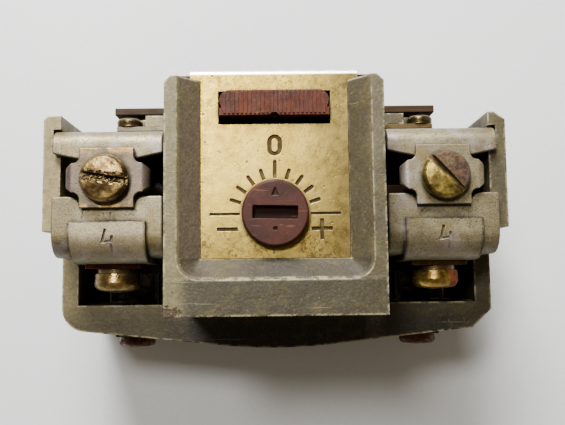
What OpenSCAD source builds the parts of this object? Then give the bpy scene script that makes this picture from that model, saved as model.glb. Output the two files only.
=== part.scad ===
// Two-pole thermal overload relay, lying on its back: +Z points out of the front
// face, +X to the right and +Y to the wiring side with the laminate cover.
// Two side cells hold a heater and a bimetal strip each. Their pusher works the
// compensator, the latch, the trip rod and the contact bridge in the middle cell.

/* [Case] */
// Width over the two outer walls
body_w = 80; // [79:0.5:82]
// Height of the tower rim above the mounting face
tower_top = 60; // [59.5:0.5:62]
// Width of the tower
tower_w = 33; // [33:0.5:33.5]
// Height of the outer walls beside the terminals
wall_top = 42.5; // [41:0.5:42.5]
// Height of the low wall in front of the heater screws
low_top = 30; // [28:0.5:30]
// Thickness of the outer walls
wall = 3; // [2.5:0.1:3]
// Thickness of the back wall
floor_t = 4; // [3.5:0.1:4]

/* [Front] */
// Thickness of the steel front plate
plate_t = 0.8; // [0.6:0.1:0.8]
// Depth of the dish that the front plate lies in
dish_depth = 3.5; // [3.5:0.1:4]
// Radius of the setting knob
knob_r = 5.1; // [4.8:0.1:5.3]
// Divisions of the setting scale on each side of zero
divisions = 5; // [4:1:6]
// Ribs on the reset button
button_ribs = 24; // [16:1:26]
// Travel of the reset button
button_travel = 2.9; // [2.5:0.1:2.9]

/* [Poles] */
// Distance of each pole's centre line from the middle
pole_x = 28.6; // [28.4:0.1:28.8]
// Width of the line terminal strips
strip_w = 18.8; // [18:0.1:19]
// Thickness of the line terminal strips
strip_t = 1.2; // [1:0.1:1.2]
// Radius of the terminal screw heads
head_r = 4.1; // [3.8:0.1:4.2]
// Height of the heater screws above the mounting face
heater_z = 34; // [34:0.1:34.5]

/* [Mechanism] */
// Throw of the eccentric under the knob
throw = 1; // [0.8:0.1:1]
// Free gap on each side of the compensator's tip
tip_gap = 1.5; // [1.45:0.05:1.55]

/* [Hidden] */
$fn = 48;
eps = 0.01;
half_w = body_w / 2;
cell_x = half_w - wall;
tower_x = tower_w / 2;
tower_y0 = -15;
tower_y1 = 21;
side_end_y = 19.1;
step_y = -1;
cell_y0 = -14;
cell_y1 = 16.8;
block_x = 28.6;
block_y = 20;
block_top = 38;
mid_x = tower_x - 3;
mid_y0 = -12;
sill_y = -18.8;
apex_y = -22.65;
corner_x = 36.4;
dish_z = tower_top - dish_depth;
seat_z = dish_z - plate_t;
mid_top = seat_z - 3;
rim_x = 14.6;
dish_x = 11.4;
dish_y = -6.5;
window_x = 8.65;
window_y0 = 14.2;
window_y1 = 19.4;
knob_y = 0.3;
cover_t = 1.3;
cover_wide = 29.5;
cover_step_z = 34.5;
fold_y = tower_y1 + cover_t;
strip_top = wall_top + 1.7;
strip_y1 = 16.35;
bend_top_r = 2.6;
lower_bend_r = 4;
strip_y0 = -5.5;
bend_y = strip_y0 + lower_bend_r;
bend_z = strip_top - lower_bend_r;
lug_t = 1;
lug_w = 13;
line_y = 7.5;
saddle_z = strip_top + 0.3;
saddle_t = 1;
head_t = 2.8;
screw_r = 1.95;
heater_face = strip_y0 - lug_t;
clamp_t = 0.8;
lock_t = 0.9;
load_z = 10;
insert_x = 32;
insert_y = 12.5;
insert_r = 1.65;
bimetal_x = 25;
bimetal_pin_z = 8;
lever_y = 4;
pusher_z = 33.4;
pusher_t = 1.6;
comp_x = -7;
comp_z = 45.4;
latch_x = 4.5;
latch_z = 44.5;
rod_y = 13.5;
rod_top = 43;
trip_travel = 2.7;
spring_x = 7.5;
spring_y = 17.3;
contact_x = 7;
contact_z = 22;
support_z = 49.6;
button_y0 = 15.3;
button_y1 = 19.2;
button_top = dish_z + 1.7;
shoulder_z = mid_top - 1.8;
foot_z = rod_top + trip_travel + button_travel + 0.1;
spring_seat_z = 44;

// ---- shared shapes ----

// A box between two corners.
module box(x0, x1, y0, y1, z0, z1) {
  translate([x0, y0, z0]) cube([x1 - x0, y1 - y0, z1 - z0]);
}

// An outline given in X and Z, drawn along Y.
module prism_y(outline, y0, y1) {
  translate([0, y1, 0]) rotate([90, 0, 0]) linear_extrude(y1 - y0) polygon(outline);
}

// An outline given in Y and Z, drawn along X.
module prism_x(outline, x0, x1) {
  translate([x0, 0, 0]) rotate([90, 0, 90]) linear_extrude(x1 - x0) polygon(outline);
}

// A cylinder along Y.
module rod_along_y(x, z, r, y0, y1) {
  translate([x, y1, z]) rotate([90, 0, 0]) cylinder(r = r, h = y1 - y0);
}

// A cylinder along Z.
module rod_along_z(x, y, r, z0, z1) {
  translate([x, y, z0]) cylinder(r = r, h = z1 - z0);
}

// A sheet bent about an axis along X: angle 0 is +Y and 90 is +Z.
module sheet_bend(x0, x1, y, z, r, t, from, to) {
  translate([x0, y, z])
    rotate([90, 0, 90])
      rotate([0, 0, from])
        rotate_extrude(angle = to - from)
          translate([r, 0]) square([t, x1 - x0]);
}

// Draws the right-hand shape, or its mirror image for side -1.
module on_side(side) {
  if (side > 0) children();
  else mirror([1, 0, 0]) children();
}

// Points on an arc in the plane.
function arc(cx, cy, r, from, to, n) =
  [for (i = [0:n]) [cx + r * cos(from + (to - from) * i / n),
                    cy + r * sin(from + (to - from) * i / n)]];

// A coil spring of round wire about the Z axis.
module coil(r, wire, z0, z1, turns) {
  sides = 6;
  steps = 12 * turns;
  rise = z1 - z0 - 2 * wire;
  points = [for (i = [0:steps], k = [0:sides - 1])
    let (a = 360 * turns * i / steps, b = 360 * k / sides, d = r + wire * cos(b))
      [d * cos(a), d * sin(a), z0 + wire + rise * i / steps + wire * sin(b)]];
  skin = [for (i = [0:steps - 1], k = [0:sides - 1])
    let (p = i * sides, q = p + sides, m = (k + 1) % sides)
      [p + k, p + m, q + m, q + k]];
  first = [for (k = [sides - 1:-1:0]) k];
  last = [for (k = [0:sides - 1]) steps * sides + k];
  polyhedron(points, concat([first, last], skin), convexity = 8);
}

// A slotted pan head with its seat at z = 0 and its thread below it.
module pan_screw(r, t, shank_r, length, slot_angle) {
  slot_w = r * 0.26;
  difference() {
    union() {
      rotate_extrude()
        polygon(concat([[0, 0], [r * 0.96, 0]],
                       arc(r - t * 0.45, t * 0.45, t * 0.45, 0, 62, 6),
                       [[0, t]]));
      translate([0, 0, -length]) cylinder(r = shank_r, h = length + eps);
      translate([0, 0, -length - shank_r * 0.4])
        cylinder(r1 = shank_r * 0.6, r2 = shank_r, h = shank_r * 0.4 + eps);
    }
    rotate([0, 0, slot_angle])
      translate([-r - 1, -slot_w / 2, t * 0.5]) cube([2 * r + 2, slot_w, t]);
  }
}

// ---- case ----

// The outline of the lower case: rounded on the left, chamfered on the right and
// bowed in the middle of its low side.
module case_outline() {
  corner_r = 4.5;
  tilt = atan((sill_y - apex_y) / corner_x);
  bow_x = 10;
  bow_r = bow_x / sin(tilt);
  bow_y = apex_y + bow_x * tan(tilt) + bow_r * cos(tilt);
  polygon(concat(
    arc(-half_w + corner_r, sill_y + corner_r, corner_r, 180, 270 - tilt, 10),
    arc(0, bow_y, bow_r, 270 - tilt, 270 + tilt, 6),
    [[corner_x, sill_y], [half_w, sill_y + 3.4],
     [half_w, side_end_y - 1.4], [half_w - 1.8, side_end_y],
     [cover_wide, side_end_y], [cover_wide, block_y],
     [tower_x, block_y], [tower_x, tower_y1], [-tower_x, tower_y1],
     [-tower_x, block_y], [-cover_wide, block_y], [-cover_wide, side_end_y],
     [-half_w + 0.7, side_end_y], [-half_w, side_end_y - 0.7]]));
}

// The shallow dish in the tower's front face, with an open top end, sloping sides
// and cones at its two corners.
module dish() {
  rise = dish_depth + 1;
  run = (rim_x - dish_x) / dish_depth * rise;
  prism_y([[-dish_x, seat_z], [dish_x, seat_z], [dish_x, dish_z],
           [dish_x + run, dish_z + rise], [-dish_x - run, dish_z + rise],
           [-dish_x, dish_z]],
          dish_y, tower_y1 + 1);
  prism_x([[dish_y, dish_z], [dish_y + 1, dish_z], [dish_y + 1, dish_z + rise],
           [dish_y - run, dish_z + rise]],
          -dish_x, dish_x);
  for (s = [-1, 1])
    translate([s * dish_x, dish_y, dish_z]) cylinder(r1 = 0.02, r2 = run, h = rise);
}

// Chamfers on the two edges of the tower's rim at its top end.
module rim_chamfers() {
  c = 1;
  for (s = [-1, 1])
    translate([0, 0, seat_z - 6])
      linear_extrude(20)
        polygon([[s * (tower_x + 1), tower_y1 + 1], [s * (tower_x - c), tower_y1 + eps],
                 [s * (tower_x + eps), tower_y1 - c]]);
}

// What is cut on the right-hand side of the case.
module side_cuts() {
  box(tower_x, cell_x, cell_y0, cell_y1, floor_t, tower_top + 1);
  // the wiring gap beside the contact block
  box(block_x, cell_x, cell_y1 - eps, tower_y1 + 1, 26, tower_top);
  box(block_x - eps, cover_wide + 1, side_end_y, tower_y1 + 1, 26, tower_top);
  // the notch for the contact terminal
  box(23.2, block_x + 1, 17.2, tower_y1 + 1, cover_step_z + 0.1, tower_top);
  box(tower_x, 23.3, 17.2, 18.05, cover_step_z + 0.1, tower_top);
  rod_along_y(26.3, 36.4, 1.3, cell_y1 - 2, 17.3);
  rod_along_y(26.3, 36.4, 2.6, 17.95, tower_y1 + 1);
  // the notch that holds the bend of the line terminal
  box(cell_x - eps, 38.3, 13.4, 16.7, 41.3, wall_top + 1);
  // the slots for the contact strip and for the pusher
  box(mid_x - eps, tower_x + eps, 17.15, 18.05, cover_step_z + 0.05, 38.3);
  box(mid_x - 1, tower_x + eps, lever_y - 5.3, tower_y1 + 1, pusher_z - 0.3, pusher_z + pusher_t + 0.3);
  // the slot and the bore for the load terminal
  box(25, 33, sill_y - 4, cell_y0 + eps, load_z - 1.3, load_z + 0.1);
  rod_along_y(29, load_z + 3.5, 2.1, sill_y - 2, sill_y + 3.4);
  // the flat seat of the load terminal
  box(24.9, 33.1, sill_y - 4, -19.65, load_z - 1.5, load_z + 7.8);
  // the groove that the support plate slides into
  box(mid_x - 1, mid_x + 0.8, mid_y0, tower_y1 + 1, support_z - 0.05, support_z + 1.05);
  // the bore for a mounting insert
  rod_along_z(insert_x, insert_y, 3, -1, 8);
}

// What stands inside the right-hand side of the case.
module side_bosses() {
  rod_along_z(insert_x, insert_y, 3.9, floor_t - 1, 9.5);
  // the ledge under a reset spring
  box(spring_x - 1.8, mid_x + 1, 15.6, 19, spring_seat_z - 2, spring_seat_z);
  // the seat of a cover screw
  rod_along_y(22.5, 6, 2.6, block_y - 2, tower_y1);
}

module housing() {
  color("dimgray")
    difference() {
      union() {
        difference() {
          union() {
            linear_extrude(low_top) case_outline();
            box(-tower_x, tower_x, tower_y0, tower_y1, low_top - 1, tower_top);
            translate([0, 0, low_top - 1])
              linear_extrude(wall_top - low_top + 1)
                intersection() {
                  case_outline();
                  for (x = [-half_w, cell_x])
                    translate([x, step_y]) square([wall, side_end_y - step_y]);
                }
            for (s = [-1, 1])
              on_side(s) box(tower_x - 1, block_x, cell_y1, block_y, low_top - 1, block_top);
          }
          box(-mid_x, mid_x, mid_y0, tower_y1 + 1, floor_t, mid_top);
          for (s = [-1, 1]) on_side(s) side_cuts();
          dish();
          rim_chamfers();
        }
        for (s = [-1, 1]) on_side(s) side_bosses();
        rod_along_z(0, rod_y, 3.2, floor_t - 1, 8.6);
        box(-mid_x - 1, -2.7, 10.6, 16.4, 39.5, 41.5);
      }
      box(-window_x, window_x, window_y0, window_y1, mid_top - 1, tower_top);
      rod_along_z(0, knob_y, 3.05, mid_top - 1, tower_top);
      rod_along_z(0, rod_y, 1.7, 2, 9);
      rod_along_y(latch_x, latch_z, 1, mid_y0 - 1.5, mid_y0 + 1);
      for (s = [-1, 1]) {
        rod_along_z(s * insert_x, insert_y, 3, -1, 8);
        rod_along_y(s * 22.5, 6, 1.1, cell_y1, tower_y1 + 1);
      }
    }
}

// The T-shaped laminate cover with its three screw holes.
module cover_plate() {
  color("saddlebrown")
    difference() {
      prism_y([[-cover_wide, 1], [cover_wide, 1], [cover_wide, cover_step_z],
               [16.4, cover_step_z], [16.4, seat_z - 0.45], [-16.4, seat_z - 0.45],
               [-16.4, cover_step_z], [-cover_wide, cover_step_z]],
              tower_y1, fold_y);
      for (s = [-1, 1])
        translate([s * 22.5, fold_y, 6])
          rotate([90, 0, 0]) {
            translate([0, 0, -1]) cylinder(r = 1.3, h = cover_t + 2);
            translate([0, 0, -eps]) cylinder(r1 = 2.4, r2 = 1.3, h = 1.1);
          }
    }
}

module cover_screws() {
  color("goldenrod")
    for (s = [-1, 1])
      translate([s * 22.5, fold_y, 6])
        rotate([90, 0, 0])
          difference() {
            union() {
              cylinder(r1 = 2.3, r2 = 1.05, h = 1.15);
              translate([0, 0, 1]) cylinder(r = 1.05, h = 3.6);
            }
            rotate([0, 0, 35 * s]) translate([-3, -0.3, -1]) cube([6, 0.6, 1.5]);
          }
}

// Brass inserts that take the two mounting screws from behind.
module mounting_inserts() {
  color("gold")
    for (s = [-1, 1])
      difference() {
        rod_along_z(s * insert_x, insert_y, 3, 0, 7.8);
        rod_along_z(s * insert_x, insert_y, insert_r, -1, 7);
      }
}

// The stamped scale: ticks, the base line, zero, minus and plus.
module scale_marks() {
  w = 0.58;
  line_w = 0.42;
  depth = 0.2;
  translate([0, 0, dish_z - depth]) {
    for (i = [-divisions:divisions])
      translate([0, knob_y, 0])
        rotate([0, 0, i * 90 / divisions])
          if (abs(i) == divisions)
            translate([-line_w / 2, knob_r + 0.3, 0]) cube([line_w, 4.6, 1]);
          else
            tick(w, knob_r + 0.4, i == 0 ? 2.5 : 1.5);
    translate([-8.9, -2.3, 0]) cube([3.2, w, 1]);
    translate([5.5, -2.3, 0]) cube([3.2, w, 1]);
    translate([7.1 - w / 2, -3.7, 0]) cube([w, 3.2, 1]);
    translate([0, 10.9, 0])
      difference() {
        zero_outline(1.15, 0.5);
        translate([0, 0, -1]) zero_outline(0.45, 0.55);
      }
  }
}

// A stamped stroke of width w from radius r outwards, with a round outer end.
module tick(w, r, reach) {
  translate([-w / 2, r, 0]) cube([w, reach, 1]);
  translate([0, r + reach, 0]) cylinder(r = w / 2, h = 1);
}

// A rounded upright oval, for the figure zero.
module zero_outline(r, straight) {
  for (s = [-1, 1]) translate([0, s * straight, 0]) cylinder(r = r, h = 3);
  translate([-r, -straight, 0]) cube([2 * r, 2 * straight, 3]);
}

// The plated steel front plate, folded back over the laminate cover.
module front_plate() {
  fold_r = 0.4;
  flange_x = 13;
  color("silver")
    difference() {
      union() {
        box(-dish_x + 0.05, dish_x - 0.05, dish_y + 0.05, tower_y1 + 0.1, seat_z, dish_z);
        box(-flange_x, flange_x, tower_y1 + 0.05, fold_y - fold_r, seat_z, dish_z);
        sheet_bend(-flange_x, flange_x, fold_y - fold_r, seat_z - fold_r, fold_r, plate_t, 0, 90);
        box(-flange_x, flange_x, fold_y, fold_y + plate_t, 46, seat_z - fold_r);
      }
      box(-window_x, window_x, window_y0, window_y1, seat_z - 1, dish_z + 1);
      rod_along_z(0, knob_y, 3.3, seat_z - 1, dish_z + 1);
      scale_marks();
    }
}

// ---- setting and reset ----

module setting_knob() {
  disc_z = dish_z + 0.2;
  disc_t = 1.8;
  color("brown")
    difference() {
      union() {
        rod_along_z(0, knob_y, knob_r, disc_z, disc_z + disc_t - 0.3);
        translate([0, knob_y, disc_z + disc_t - 0.3])
          cylinder(r1 = knob_r, r2 = knob_r - 0.3, h = 0.3);
        rod_along_z(0, knob_y, 3, mid_top - 0.7, disc_z + eps);
      }
      translate([0, knob_y + 0.1, disc_z + disc_t - 1.2])
        rotate([0, 0, -1.5]) translate([-3.4, -1, 0]) cube([6.8, 2, 2]);
      translate([0, knob_y + 3.1, disc_z + disc_t - 0.35])
        linear_extrude(1) polygon([[-0.6, -0.5], [0.6, -0.5], [0, 0.9]]);
      rod_along_z(0, knob_y - 2.4, 0.3, disc_z + disc_t - 0.35, disc_z + disc_t + 1);
      rod_along_z(0, knob_y, 2, mid_top - 1, disc_z - 1.5);
    }
}

// The shaft pressed into the knob, with the eccentric pin at its end.
module eccentric_shaft() {
  color("lightgray")
    difference() {
      union() {
        rod_along_z(0, knob_y, 2, support_z - 0.7, dish_z - 1.4);
        rod_along_z(0, knob_y + throw, 1.2, 46.9, support_z - 0.7 + eps);
      }
      translate([0, knob_y, 51.3])
        difference() {
          cylinder(r = 3, h = 0.6);
          translate([0, 0, -1]) cylinder(r = 1.6, h = 3);
        }
    }
}

module knob_clip() {
  color("gray")
    translate([0, knob_y, 51.32])
      difference() {
        cylinder(r = 4, h = 0.56);
        translate([0, 0, -1]) cylinder(r = 1.65, h = 3);
        translate([-1.4, -6, -1]) cube([2.8, 6, 3]);
      }
}

module knob_washer() {
  color("lightgray")
    translate([0, knob_y, mid_top - 0.65])
      difference() {
        cylinder(r = 4.6, h = 0.6);
        translate([0, 0, -1]) cylinder(r = 3.1, h = 3);
      }
}

// The ribbed button, its retaining shoulders and the foot that meets the tripped rod.
module reset_button() {
  rib_t = 0.18;
  pitch = 15.8 / button_ribs;
  x = window_x - 0.25;
  round_r = 1.6;
  color("firebrick")
    difference() {
      union() {
        box(-x, x, button_y0, button_y1 - round_r, shoulder_z, button_top - rib_t);
        box(-x + round_r, x - round_r, button_y0, button_y1, shoulder_z, button_top - rib_t);
        for (s = [-1, 1])
          rod_along_z(s * (x - round_r), button_y1 - round_r, round_r, shoulder_z, button_top - rib_t);
        for (i = [0:button_ribs - 1]) {
          rib_x = (i + 0.5 - button_ribs / 2) * pitch;
          past = max(0, abs(rib_x) + pitch * 0.28 - (x - round_r));
          box(rib_x - pitch * 0.28, rib_x + pitch * 0.28, button_y0 + 0.25,
              button_y1 - 0.2 - round_r + sqrt(pow(round_r, 2) - pow(past, 2)),
              button_top - rib_t - eps, button_top);
        }
        box(-x - 1.9, x + 1.9, button_y0, button_y1, shoulder_z, mid_top - 0.4);
        box(-2.5, 1, 12, button_y0 + 1, foot_z, mid_top - 0.4);
      }
      rod_along_z(0, button_y0 - 0.5, 0.9, button_top - 1.2, button_top + 1);
      // sockets for the two return springs
      for (s = [-1, 1]) rod_along_z(s * spring_x, spring_y, 1.8, shoulder_z - 1, shoulder_z + 1.2);
    }
}

module reset_springs() {
  color("lightgray")
    for (s = [-1, 1])
      translate([s * spring_x, spring_y, 0])
        coil(1.35, 0.25, spring_seat_z + 0.02, mid_top - 0.62, 6);
}

// ---- middle cell ----

// The steel plate under the front wall that carries the knob's shaft and the carriage.
module support_plate() {
  color("silver")
    difference() {
      box(-mid_x - 0.75, mid_x + 0.75, mid_y0 + 0.1, 10.4, support_z, support_z + 1);
      rod_along_z(0, knob_y, 2.05, support_z - 1, support_z + 2);
      for (s = [-1, 1]) {
        box(-4.4, -1.6, s * 7.3 - 1.3, s * 7.3 + 1.3, support_z - 1, support_z + 2);
        for (e = [-4.4, -1.6]) rod_along_z(e, s * 7.3, 1.3, support_z - 1, support_z + 2);
      }
    }
}

// The carriage that the eccentric pin moves along X, with the compensator's two ears.
module setting_carriage() {
  z0 = support_z - 2.2;
  color("goldenrod")
    difference() {
      union() {
        box(-9.5, 3.5, -9.6, 9.6, z0, z0 + 1.2);
        for (y = [0.6, 6.4]) box(-9.2, -4.8, y, y + 1, comp_z - 1.6, z0 + eps);
      }
      box(-1.5, 1.5, -1.3, 3, z0 - 1, z0 + 2);
      rod_along_y(comp_x, comp_z, 0.8, -1, 9);
      for (s = [-1, 1]) rod_along_z(-3, s * 7.3, 1.2, z0 - 1, z0 + 2);
    }
}

module carriage_rivets() {
  color("silver")
    for (s = [-1, 1])
      translate([-3, s * 7.3, 0]) {
        rod_along_z(0, 0, 1.2, support_z - 2.2, support_z + 1.1);
        rod_along_z(0, 0, 2, support_z - 1, support_z - 0.05);
        rod_along_z(0, 0, 2, support_z + 1.05, support_z + 1.7);
      }
}

// The temperature-compensating bimetal, curled round its pin.
module compensator() {
  color("darkkhaki")
    difference() {
      union() {
        box(comp_x - 0.4, comp_x + 0.4, lever_y - 2, lever_y + 2, 30.6, comp_z - 1);
        rod_along_y(comp_x, comp_z, 1.7, lever_y - 2, lever_y + 2);
      }
      rod_along_y(comp_x, comp_z, 0.85, lever_y - 3, lever_y + 3);
    }
}

module compensator_pin() {
  color("silver") rod_along_y(comp_x, comp_z, 0.8, 0.2, 7.8);
}

// The insulating pusher with a window for each bimetal and one for the levers.
module pusher() {
  edge = comp_x - 0.4 - tip_gap;
  color("burlywood")
    difference() {
      union() {
        box(-18, 18, lever_y - 5, lever_y + 5, pusher_z, pusher_z + pusher_t);
        box(-27.5, 27.5, lever_y - 3.4, lever_y + 3.4, pusher_z, pusher_z + pusher_t);
      }
      box(edge, 9.5, lever_y - 2.7, lever_y + 2.7, pusher_z - 1, pusher_z + 3);
      for (x = [-bimetal_x, bimetal_x])
        box(x - 1.1, x + 0.7, lever_y - 1.9, lever_y + 1.9, pusher_z - 1, pusher_z + 3);
    }
}

// The latch: a hub with a tail for the compensator and a nose over the trip rod.
module latch_lever() {
  tail_x = comp_x + 0.4 + tip_gap;
  color("lightgray")
    difference() {
      union() {
        rod_along_y(latch_x, latch_z, 2.5, 2, 15);
        prism_y([[latch_x - 2.2, latch_z - 0.8], [tail_x, 33.4], [tail_x, 31],
                 [tail_x + 1.2, 31], [tail_x + 1.8, 33], [latch_x + 1.4, latch_z - 2]],
                lever_y - 1.8, lever_y + 1.8);
        prism_y([[latch_x - 2, latch_z - 1.2], [latch_x - 1.6, 39], [1.3, 38.4],
                 [1.3, 36.8], [latch_x + 0.4, 36.8], [latch_x + 2, latch_z - 1.2]],
                11.6, 15);
      }
      rod_along_y(latch_x, latch_z, 1.05, 1, 16);
    }
}

module latch_pin() {
  color("silver") rod_along_y(latch_x, latch_z, 1, mid_y0 - 1.4, tower_y1 - 0.1);
}

// The trip rod, with the sloping catch under the nose and the window of the bridge.
module trip_rod() {
  color("sienna")
    difference() {
      union() {
        prism_y([[-2.5, 14], [2.5, 14], [2.5, 33.8], [1, 37], [1, rod_top], [-2.5, rod_top]],
                rod_y - 2.5, rod_y + 2.5);
        rod_along_z(0, rod_y, 1.65, 4.6, 14 + eps);
      }
      box(-3, 3, rod_y - 1.6, rod_y + 1.6, contact_z + 1.5, contact_z + 7);
    }
}

module trip_spring() {
  color("lightgray") translate([0, rod_y, 0]) coil(2.35, 0.3, 8.62, 13.98, 5);
}

// The moving bridge with its two contact tips.
module contact_bridge() {
  color("peru") {
    box(-9, 9, rod_y - 1.5, rod_y + 1.5, contact_z + 1.55, contact_z + 2.35);
    for (s = [-1, 1]) rod_along_z(s * contact_x, rod_y, 1.2, contact_z + 0.8, contact_z + 1.55 + eps);
  }
}

module contact_spring() {
  color("lightgray")
    translate([0, rod_y, 0]) coil(1.1, 0.2, contact_z + 2.37, contact_z + 6.98, 6);
}

// A fixed contact: tip, shelf, riser, and the strip out to its terminal screw.
module fixed_contact(side) {
  strip_z = cover_step_z + 0.2;
  color("peru")
    on_side(side)
      difference() {
        union() {
          rod_along_z(contact_x, rod_y, 1.3, contact_z - eps, contact_z + 0.75);
          box(5, 9, rod_y - 1.8, 18, contact_z - 0.8, contact_z);
          box(5, 9, 17.2, 18, contact_z - 0.8, 38.2);
          box(5, block_x - 0.3, 17.2, 18, strip_z, 38.2);
        }
        rod_along_y(26.3, 36.4, 1.3, 16, 19);
      }
}

module contact_screw(side) {
  color("gold")
    on_side(side)
      translate([26.3, 18.3, 36.4]) {
        rotate([-90, 0, 0]) pan_screw(2.3, 1.5, 1.25, 1, 20);
        rotate([-90, 0, 0])
          translate([0, 0, -0.28])
            difference() {
              cylinder(r = 2.2, h = 0.27);
              translate([0, 0, -1]) cylinder(r = 1.3, h = 3);
            }
      }
}

// ---- poles ----

// A line terminal strip: a plate bent back at both ends, necked under the saddle.
module line_terminal(side) {
  x0 = pole_x - strip_w / 2;
  x1 = pole_x + strip_w / 2;
  neck = 4.4;
  shoulder = 2.2;
  plate_z = strip_top - strip_t;
  color("darkgray")
    on_side(side)
      difference() {
        union() {
          box(x0, x1, bend_y, strip_y1 - bend_top_r, plate_z, strip_top);
          sheet_bend(x0, x1, strip_y1 - bend_top_r, strip_top - bend_top_r,
                     bend_top_r - strip_t, strip_t, 0, 90);
          sheet_bend(x0, x1, bend_y, bend_z, lower_bend_r - strip_t, strip_t, 90, 180);
          box(x0 + 1.5, cell_x - 0.3, strip_y1 - strip_t, strip_y1, 29,
              strip_top - bend_top_r);
          box(x0, x1, strip_y0, strip_y0 + strip_t, low_top + 0.3, bend_z);
        }
        for (s = [-1, 1])
          translate([pole_x, 0, 20])
            linear_extrude(30)
              polygon(concat(
                [for (a = [180:-15:90])
                  [s * (neck + shoulder + shoulder * cos(a)), 4.8 - shoulder + shoulder * sin(a)]],
                [[s * (neck + 6), 4.8], [s * (neck + 6), 12.7],
                 [s * (strip_w / 2), 12.2], [s * neck, 11.1]]));
        rod_along_z(pole_x - 0.1, line_y, 2, strip_top - 3, strip_top + 1);
        rod_along_y(pole_x + 0.2, heater_z, 2, strip_y0 - 1, strip_y0 + 2);
      }
}

module line_nut(side) {
  color("goldenrod")
    on_side(side)
      difference() {
        box(pole_x - 3.6, pole_x + 3.4, line_y - 3.5, line_y + 3.5,
            strip_top - strip_t - 2.6, strip_top - strip_t);
        rod_along_z(pole_x - 0.1, line_y, 2, strip_top - 6, strip_top);
      }
}

// The saddle washer: a plate with two wings turned down beside the neck.
module saddle(side) {
  plate_x = 4.6;
  wing_x = 7.1;
  wing_y = 2.5;
  bend_r = 1.3;
  flat_x = wing_x - bend_r;
  fillet = flat_x - plate_x;
  color("silver")
    on_side(side)
      translate([pole_x - 0.2, line_y + 0.3, saddle_z])
        difference() {
          union() {
            box(-plate_x, plate_x, -5.1, 5.1, 0, saddle_t);
            box(-flat_x, flat_x, -wing_y - fillet, wing_y + fillet, 0, saddle_t);
            for (s = [-1, 1])
              translate([s * flat_x, 0, 0]) {
                translate([0, s * wing_y, saddle_t - bend_r])
                  rotate([90, 0, s > 0 ? 0 : 180])
                    rotate_extrude(angle = 90)
                      translate([bend_r - saddle_t, 0]) square([saddle_t, 2 * wing_y]);
                translate([s > 0 ? bend_r - saddle_t : -bend_r, -wing_y, -1.4])
                  cube([saddle_t, 2 * wing_y, 1.4 + saddle_t - bend_r]);
              }
          }
          translate([0.1, -0.3, -1]) cylinder(r = 2.2, h = 4);
          for (sx = [-1, 1], sy = [-1, 1]) {
            translate([sx * flat_x, sy * (wing_y + fillet), -1]) cylinder(r = fillet, h = 3);
            translate([0, 0, -3])
              linear_extrude(6)
                polygon([[sx * (flat_x + 0.1), sy * (wing_y + eps)],
                         [sx * (wing_x + 1), sy * (wing_y + eps)],
                         [sx * (wing_x + 1), sy * (wing_y - 1.7)]]);
          }
        }
}

module line_screw(side) {
  color("goldenrod")
    translate([side * (pole_x - 0.1), line_y, saddle_z + saddle_t])
      pan_screw(head_r, head_t, screw_r, 7, side > 0 ? -48 : -10);
}

// The figure stamped on a heater's lug.
module figure_four() {
  w = 0.4;
  translate([-1.1, 0, 0]) rotate([0, 0, -13]) cube([w, 2.3, 1]);
  translate([-1.15, -0.35, 0]) rotate([0, 0, 12]) cube([1.9, w, 1]);
  translate([0.35, -1.6, 0]) rotate([0, 0, -4]) cube([w, 2.7, 1]);
}

// An exchangeable heater: front lug, ribbon in even turns, and rear lug.
module heater(side) {
  leg = 3.2;
  color("darkgray")
    difference() {
      on_side(side)
        difference() {
          union() {
            box(pole_x - 0.2 - lug_w / 2, pole_x - 0.2 + lug_w / 2, bend_y, 0.4,
                strip_top, strip_top + lug_t);
            sheet_bend(pole_x - 0.2 - lug_w / 2, pole_x - 0.2 + lug_w / 2, bend_y, bend_z,
                       lower_bend_r, lug_t, 90, 180);
            box(pole_x - 0.2 - lug_w / 2, pole_x - 0.2 + lug_w / 2, heater_face, strip_y0,
                low_top + 0.5, bend_z);
            box(30.3, 33.3, heater_face, strip_y0, 26, low_top + 0.5 + eps);
            for (i = [0:4]) {
              box(32.7, 33.3, heater_face + i * leg, heater_face + i * leg + 1.6, 13, 27);
              if (i < 4)
                box(32.7, 33.3, heater_face + i * leg, heater_face + (i + 1) * leg + 1.6,
                    i % 2 == 0 ? 13 : 25.6, i % 2 == 0 ? 14.4 : 27);
            }
            box(32.7, 33.3, heater_face + 4 * leg, heater_face + 4 * leg + 1.6, 12, 14);
            box(32.1, 33.3, cell_y0 + 1, heater_face + 4 * leg + 1.6, load_z + 1, load_z + 2);
            box(26.4, 33.3, cell_y0 + 1, cell_y0 + 6, load_z + 0.1, load_z + 1.1);
          }
          rod_along_y(pole_x + 0.2, heater_z, 2.1, heater_face - 1, strip_y0 + 1);
          rod_along_z(29, cell_y0 + 3.5, 1.6, load_z - 1, load_z + 3);
        }
      translate([side * (pole_x - 0.2) + 0.2, -3, strip_top + lug_t - 0.4]) figure_four();
    }
}

module heater_clamp(side) {
  color("rosybrown")
    on_side(side)
      difference() {
        box(pole_x - 4.7, pole_x + 5.1, heater_face - clamp_t, heater_face,
            heater_z - 3.8, heater_z + 4);
        rod_along_y(pole_x + 0.2, heater_z, 2.15, heater_face - 3, heater_face + 1);
      }
}

module lock_washer(side) {
  y = heater_face - clamp_t;
  color("gray")
    on_side(side)
      difference() {
        rod_along_y(pole_x + 0.2, heater_z, 3.5, y - lock_t, y);
        rod_along_y(pole_x + 0.2, heater_z, 2.15, y - 2, y + 1);
        translate([pole_x + 2.2, y - 2, heater_z + 0.4])
          rotate([0, 25, 0]) cube([3, 3, 0.6]);
      }
}

module heater_screw(side) {
  color("goldenrod")
    translate([side * (pole_x + 0.2), heater_face - clamp_t - lock_t, heater_z])
      rotate([90, 0, 0]) pan_screw(head_r, 3.5, screw_r, 6.4, side * 8);
}

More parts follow.
